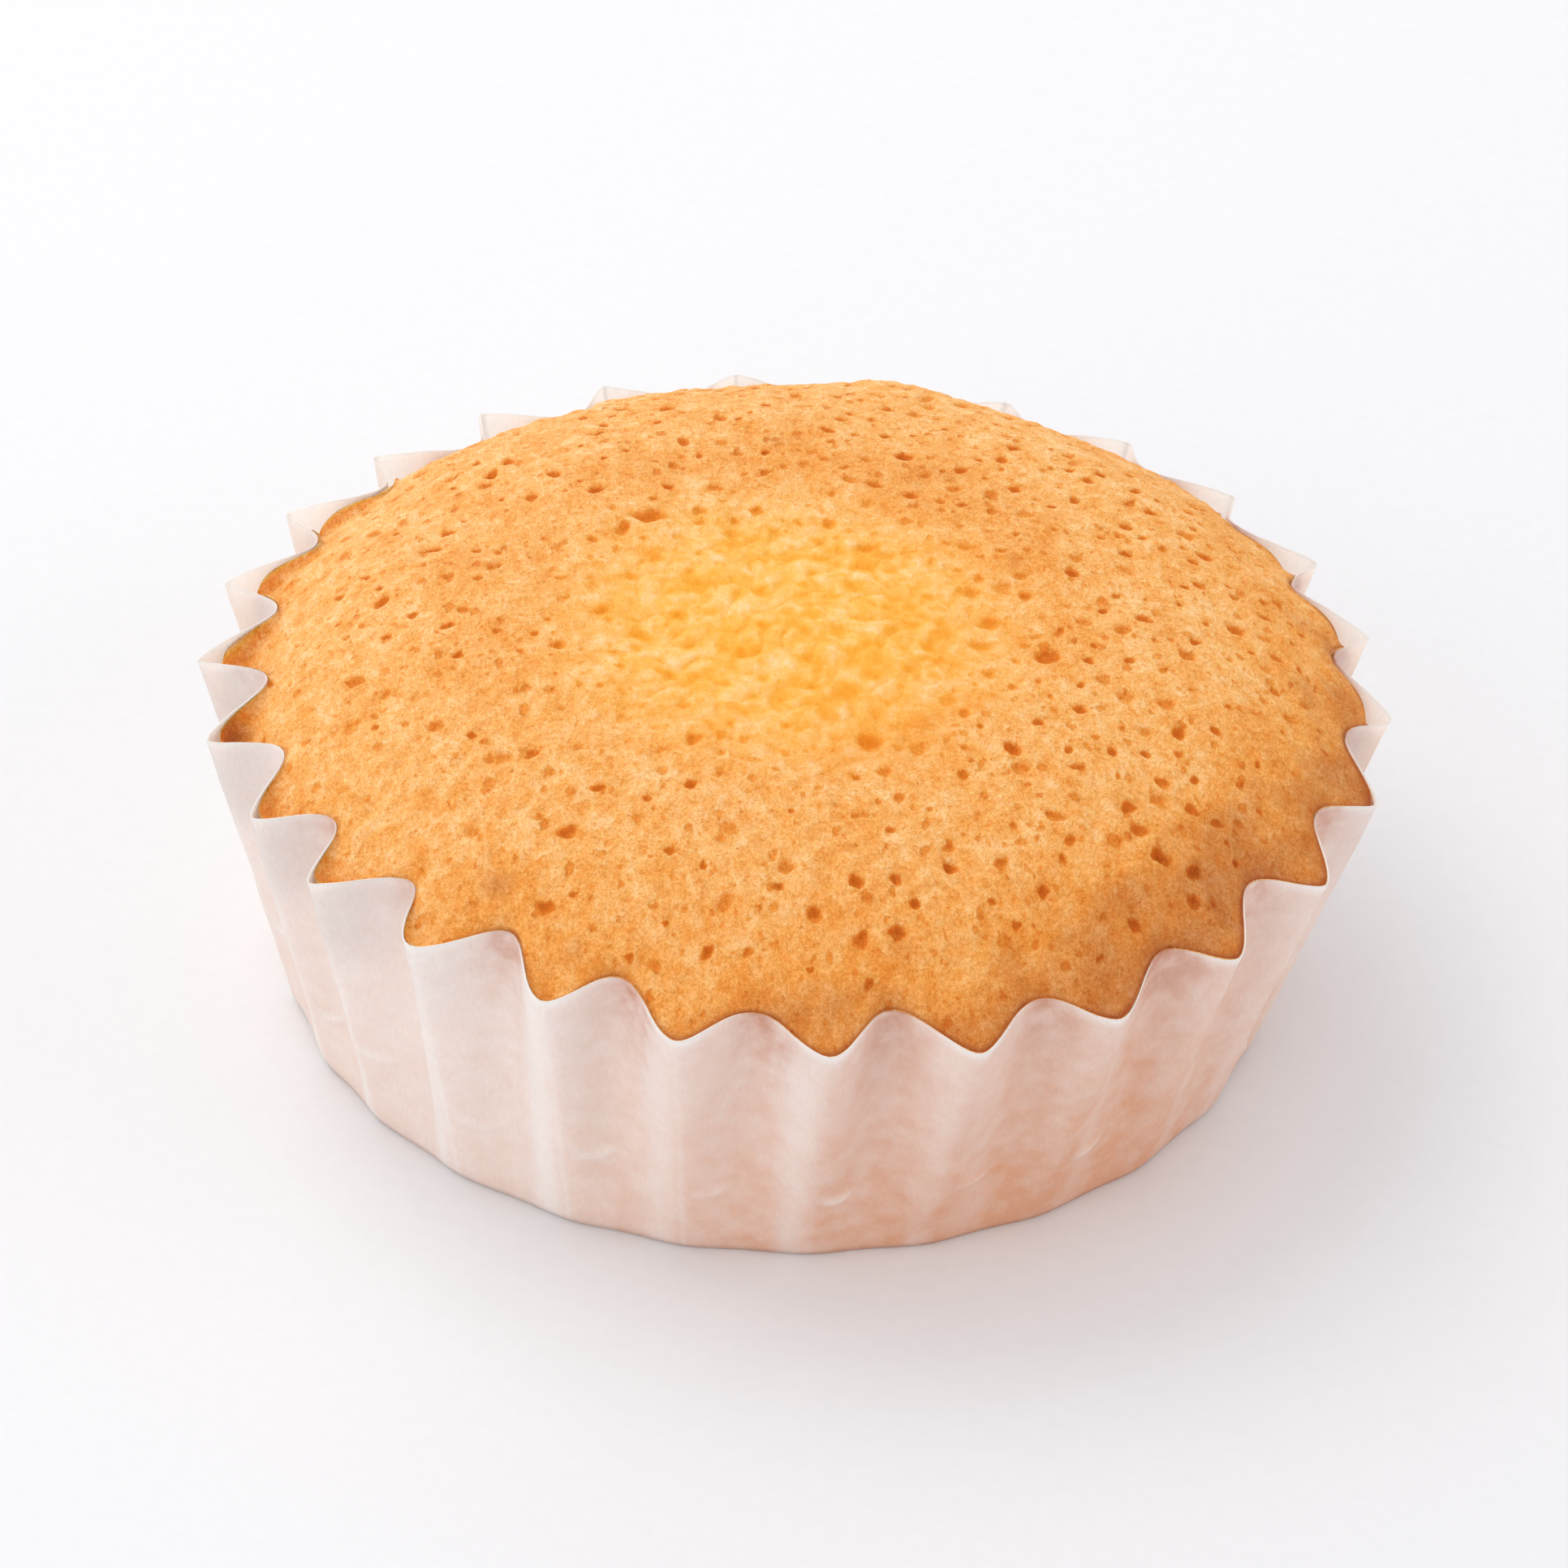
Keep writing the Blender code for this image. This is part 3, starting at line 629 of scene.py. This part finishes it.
def bakedCrust():
    # Butter sponge, baked: the sugar and butter at its surface browned to gold, and bubbles burst
    # through it. It is matt with a faint greasy sheen, sandy close up, and its pits are damp orange,
    # darkened in part by painted shade.
    material = newMaterial("butterSpongeBaked")
    place = addNode(material, "TexCoord")
    inMm = addNode(material, "VectorMath", {1: (1000, 1000, 1000)}, {0: place.outputs["Object"]},
                   operation="MULTIPLY")
    # The batter spread toward the front and back, so its patterns are a little longer that way
    inMm = addNode(material, "VectorMath", {1: (1.1, 0.82, 1.1)}, {0: inMm}, operation="MULTIPLY")
    wobble = addNode(material, "TexNoise", {"Scale": 1.6, "Detail": 3.0}, {"Vector": inMm})
    centred = addNode(material, "VectorMath", {1: (0.5, 0.5, 0.5)}, {0: wobble.outputs["Color"]},
                      operation="SUBTRACT")
    shifted = addNode(material, "VectorMath", {1: (0.8, 0.8, 0.8)}, {0: centred, 2: inMm},
                      operation="MULTIPLY_ADD")
    painted = {name: addNode(material, "Attribute", attribute_name=name).outputs["Fac"]
               for name in ("brownAndShade", "pit", "pitForce", "burnt", "moist", "soft")}

    # Two sizes of fine pores: cells of 1.9 mm and 0.85 mm, each holding one pore of its own size.
    # A cell's random value less a threshold gives the radius, so many cells stay closed.
    poreHeight, poreMask = None, None
    for cell, widest, closed, weight in ((1.9, 0.45, 0.42, 0.9), (0.85, 0.26, 0.46, 0.6)):
        cells = addNode(material, "TexVoronoi", {"Scale": 1 / cell, "Randomness": 0.95},
                        {"Vector": shifted}, voronoi_dimensions="2D", feature="F1")
        chance = addNode(material, "SeparateColor", {}, {0: cells.outputs["Color"]})
        radius = addNode(material, "MapRange", {1: closed, 2: 1.0, 3: 0.001, 4: widest / cell}, {0: chance})
        steps = addNode(material, "Math", {}, {0: cells, 1: radius}, operation="DIVIDE")
        squared = addNode(material, "Math", {}, {0: steps, 1: steps}, operation="MULTIPLY")
        bowl = addNode(material, "Math", {0: 1.0}, {1: squared}, operation="SUBTRACT", use_clamp=True)
        mask = addNode(material, "MapRange", {1: 0.0, 2: 1.0, 3: 0.0, 4: weight}, {0: bowl},
                       interpolation_type="SMOOTHSTEP")
        depth = addNode(material, "Math", {}, {0: mask, 1: radius}, operation="MULTIPLY")
        depthMm = addNode(material, "Math", {1: -0.30 * cell}, {0: depth}, operation="MULTIPLY")
        if poreMask is None:
            poreHeight, poreMask = depthMm, mask
        else:
            poreHeight = addNode(material, "Math", {}, {0: poreHeight, 1: depthMm}, operation="ADD")
            poreMask = addNode(material, "Math", {}, {0: poreMask, 1: mask}, operation="MAXIMUM")
    # The soft middle keeps less of the pores and of the grain
    firm = addNode(material, "MapRange", {1: 0.0, 2: 1.0, 3: 1.0, 4: 0.30}, {0: painted["soft"]})
    poreMask = addNode(material, "Math", {}, {0: poreMask, 1: firm}, operation="MULTIPLY")
    poreHeight = addNode(material, "Math", {}, {0: poreHeight, 1: firm}, operation="MULTIPLY")

    # Blotches of 5 mm, clouds of 2 mm, lumps of 0.8 mm, sandy grain of 0.28 mm and specks of 0.12 mm
    blotch = addNode(material, "TexNoise", {"Scale": 0.22, "Detail": 2.0, "Roughness": 0.5}, {"Vector": inMm})
    clouds = addNode(material, "TexNoise",
                     {"Scale": 0.50, "Detail": 2.0, "Roughness": 0.5, "Distortion": 0.3}, {"Vector": inMm})
    lumps = addNode(material, "TexNoise", {"Scale": 1.25, "Detail": 2.0, "Roughness": 0.55}, {"Vector": inMm})
    grain = addNode(material, "TexNoise", {"Scale": 3.6, "Detail": 2.0, "Roughness": 0.6}, {"Vector": inMm})
    specks = addNode(material, "TexNoise", {"Scale": 8.0, "Detail": 1.0, "Roughness": 0.5}, {"Vector": inMm})
    sandy = addNode(material, "Math", {}, {0: grain, 1: specks}, operation="ADD")
    sandy = addNode(material, "Math", {1: 1.0}, {0: sandy}, operation="SUBTRACT")
    sandy = addNode(material, "Math", {}, {0: sandy, 1: firm}, operation="MULTIPLY")
    # In the middle the egg shows in yellow patches of 3 mm
    yolk = addNode(material, "TexNoise", {"Scale": 0.34, "Detail": 2.0, "Roughness": 0.6},
                   {"Vector": shifted})
    yolk = addNode(material, "MapRange", {1: 0.46, 2: 0.68, 3: -0.16, 4: 0.9}, {0: yolk})
    yolk = addNode(material, "Math", {}, {0: yolk, 1: painted["soft"]}, operation="MULTIPLY")

    # Outside the soft middle the painted pits get a crisp edge
    crispPit = addNode(material, "MapRange", {1: 0.18, 2: 0.62, 3: 0.0, 4: 1.0}, {0: painted["pit"]},
                       interpolation_type="SMOOTHSTEP")
    pitShare = addNode(material, "Mix", {}, {0: painted["soft"], 2: crispPit, 3: painted["pit"]},
                       data_type="FLOAT")
    pitLoss = addNode(material, "Math", {1: 2.5, 2: 0.6}, {0: painted["pitForce"]}, operation="MULTIPLY_ADD")

    # How deep the tint runs: little on the ridges, far in the hollows of the bump relief, in pores
    # and in pits. It is partly the browned sugar's colour and partly painted shade in those hollows.
    # The mean is 0.74. Half of each force comes back on top, as clouds and lumps lie round 0.5.
    depth = addNode(material, "Math", {1: -1.8, 2: 0.74 + 0.9 + 1.15}, {0: clouds}, operation="MULTIPLY_ADD")
    for force, pattern in ((-2.3, lumps), (-1.6, sandy)):
        depth = addNode(material, "Math", {1: force}, {0: pattern, 2: depth}, operation="MULTIPLY_ADD")
    depth = addNode(material, "Math", {}, {0: depth, 1: yolk}, operation="ADD")
    depth = addNode(material, "Math", {1: 1.6}, {0: poreMask, 2: depth}, operation="MULTIPLY_ADD")
    depth = addNode(material, "Math", {}, {0: pitShare, 1: pitLoss, 2: depth}, operation="MULTIPLY_ADD")
    depth = addNode(material, "Math", {1: 1 / 3}, {0: depth}, operation="MULTIPLY", use_clamp=True)
    # Blue is lost first, then green: more red is kept in the pale, moist middle
    firmTint = addNode(material, "ValToRGB", {}, {0: depth}, stops=[
        (0.0, (1, 1, 1, 1)), (0.2, (0.947, 0.806, 0.549, 1)), (0.4, (0.898, 0.649, 0.301, 1)),
        (0.63, (0.843, 0.505, 0.150, 1)), (1.0, (0.763, 0.340, 0.050, 1))])
    softTint = addNode(material, "ValToRGB", {}, {0: depth}, stops=[
        (0.0, (1, 1, 1, 1)), (0.2, (0.980, 0.862, 0.530, 1)), (0.4, (0.960, 0.752, 0.270, 1)),
        (0.63, (0.940, 0.650, 0.120, 1)), (1.0, (0.914, 0.520, 0.035, 1))])
    tint = addNode(material, "Mix", {}, {0: painted["soft"], 6: firmTint, 7: softTint}, data_type="RGBA")

    # From pale gold to toasted brown
    toneLevel = addNode(material, "MapRange", {1: 0.25, 2: 0.75, 3: -0.14, 4: 0.14}, {0: blotch}, clamp=False)
    toneLevel = addNode(material, "Math", {}, {0: toneLevel, 1: painted["brownAndShade"]}, operation="ADD",
                      use_clamp=True)
    gold = addNode(material, "ValToRGB", {}, {0: toneLevel}, stops=[
        (0.0, linearColour("#fccf98")), (0.22, linearColour("#fccb92")), (0.45, linearColour("#fbc588")),
        (0.65, linearColour("#f5b66e")), (0.82, linearColour("#dd9a5a")), (1.0, linearColour("#c58250"))])
    colour = addNode(material, "VectorMath", {}, {0: gold, 1: tint.outputs[2]}, operation="MULTIPLY")
    burntShare = addNode(material, "Math", {1: 0.9}, {0: painted["burnt"]}, operation="MULTIPLY")
    colour = addNode(material, "Mix", {7: linearColour("#99431c")}, {0: burntShare, 6: colour},
                     data_type="RGBA")
    # Sugar grains and the ridges between pores catch the light
    sparkle = addNode(material, "Math", {1: 0.30, 2: 1.0}, {0: sandy}, operation="MULTIPLY_ADD")
    colour = addNode(material, "VectorMath", {}, {0: colour.outputs[2], "Scale": sparkle}, operation="SCALE")

    # Relief in millimetres
    height = poreHeight
    for force, pattern in ((0.25, clouds), (0.20, lumps), (0.09, sandy)):
        height = addNode(material, "Math", {1: force}, {0: pattern, 2: height}, operation="MULTIPLY_ADD")
    bump = addNode(material, "Bump", {"Strength": 1.0, "Distance": mm}, {"Height": height})

    # Butter glistens in tiny spots, most where the crust tore near the front left
    glint = addNode(material, "MapRange", {1: 0.60, 2: 0.72, 3: 0.0, 4: 1.0}, {0: grain})
    weighting = addNode(material, "MapRange", {1: 0.0, 2: 1.0, 3: 0.25, 4: 1.0}, {0: painted["moist"]})
    glint = addNode(material, "Math", {}, {0: glint, 1: weighting}, operation="MULTIPLY")
    rough = addNode(material, "MapRange", {1: 0.0, 2: 1.0, 3: 0.66, 4: 0.30}, {0: glint})
    shader = addNode(material, "BsdfPrincipled",
                     {"IOR": 1.45, "Specular IOR Level": 0.2, "Subsurface Weight": 0.4,
                      "Subsurface Radius": (1.0, 0.42, 0.14), "Subsurface Scale": 0.45 * mm},
                     {"Base Color": colour, "Roughness": rough, "Normal": bump})
    addNode(material, "OutputMaterial", {}, {"Surface": shader})
    return material


spongeCake = buildCake(bakedCrust())
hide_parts("cake")
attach(spongeCake, "root")
print("cake:", len(spongeCake.data.polygons), "faces")


# Floor, light and camera. The card is a pale board at the right that throws light back. Powers
# are in watts, elevation and roll in degrees, and the lens and its sensor in millimetres.
studio = {
    "floorSize": 3.0, "floorColour": "#eaeaec", "floorGap": 0.02 * mm,
    "skyColour": "#fbfcff", "skyStrength": 0.79,
    "keyPlace": (-0.38, 0.28, 0.70), "keySize": 0.60, "keyPower": 2.25, "keyColour": "#fffaf3",
    "fillPlace": (-0.62, -0.63, 0.32), "fillSize": 0.90, "fillPower": 2.4, "fillColour": "#fffcf8",
    "backPlace": (-0.35, 0.85, 0.24), "backSize": 0.40, "backPower": 1.8, "backColour": "#fffdfb",
    "cardPlace": (0.62, -0.14, 0.24), "cardSize": 0.50, "cardPower": 0.85, "cardColour": "#fffaf6",
    "elevation": 35.13, "roll": 2.73, "distance": 0.5424, "aim": (0, 0, 13 * mm),
    "lens": 202, "sensor": 36,
}


def mattBoard():
    # Card with a matt white paint: even and pale, with a faint tooth of about 1 mm
    material = newMaterial("cardPaintedMatt")
    place = addNode(material, "TexCoord")
    tooth = addNode(material, "TexNoise", {"Scale": 900.0, "Detail": 2.0},
                    {"Vector": place.outputs["Object"]})
    tone = addNode(material, "MapRange", {1: 0.3, 2: 0.7, 3: 0.992, 4: 1.008}, {0: tooth})
    colour = addNode(material, "VectorMath", {0: linearColour(studio["floorColour"])[:3]},
                     {"Scale": tone}, operation="SCALE")
    shader = addNode(material, "BsdfPrincipled", {"Roughness": 0.9, "Specular IOR Level": 0.1},
                     {"Base Color": colour})
    addNode(material, "OutputMaterial", {}, {"Surface": shader})
    return material


corners = np.array([[-1, -1, 0], [1, -1, 0], [1, 1, 0], [-1, 1, 0]]) * studio["floorSize"] / 2
studioFloor = newPiece("studioFloor", corners - [0, 0, studio["floorGap"]], [[0, 1, 2, 3]], mattBoard())

world = bpy.data.worlds.new("studioSky")
world.use_nodes = True
world.node_tree.nodes["Background"].inputs["Color"].default_value = linearColour(studio["skyColour"])
world.node_tree.nodes["Background"].inputs["Strength"].default_value = studio["skyStrength"]
bpy.context.scene.world = world

for name in ("key", "fill", "back", "card"):
    lamp = bpy.data.lights.new(name + "Box", "AREA")
    lamp.shape = "SQUARE"
    lamp.size = studio[name + "Size"]
    lamp.energy = studio[name + "Power"]
    lamp.color = linearColour(studio[name + "Colour"])[:3]
    softBox = bpy.data.objects.new(name + "Box", lamp)
    softBox.location = studio[name + "Place"]
    toCake = Vector(studio["aim"]) - Vector(studio[name + "Place"])
    softBox.rotation_euler = toCake.to_track_quat("-Z", "Y").to_euler()
    bpy.context.scene.collection.objects.link(softBox)

# The camera looks along +Y from above, turned a little about its own axis as in the photo
tilt, roll = math.radians(studio["elevation"]), math.radians(studio["roll"])
back = np.array([0, -math.cos(tilt), math.sin(tilt)])
right, up = np.array([1, 0, 0]), np.array([0, math.sin(tilt), math.cos(tilt)])
placing = np.eye(4)
placing[:3, 0] = right * math.cos(roll) + up * math.sin(roll)
placing[:3, 1] = up * math.cos(roll) - right * math.sin(roll)
placing[:3, 2] = back
placing[:3, 3] = np.array(studio["aim"]) + back * studio["distance"]
lens = bpy.data.cameras.new("photoView")
lens.lens = studio["lens"]
lens.sensor_width = studio["sensor"]
lens.clip_start = 0.01
photoView = bpy.data.objects.new("photoView", lens)
bpy.context.scene.collection.objects.link(photoView)
photoView.matrix_world = Matrix(placing.tolist())
bpy.context.scene.camera = photoView
bpy.context.scene.view_settings.view_transform = "Standard"
print("studio ready")
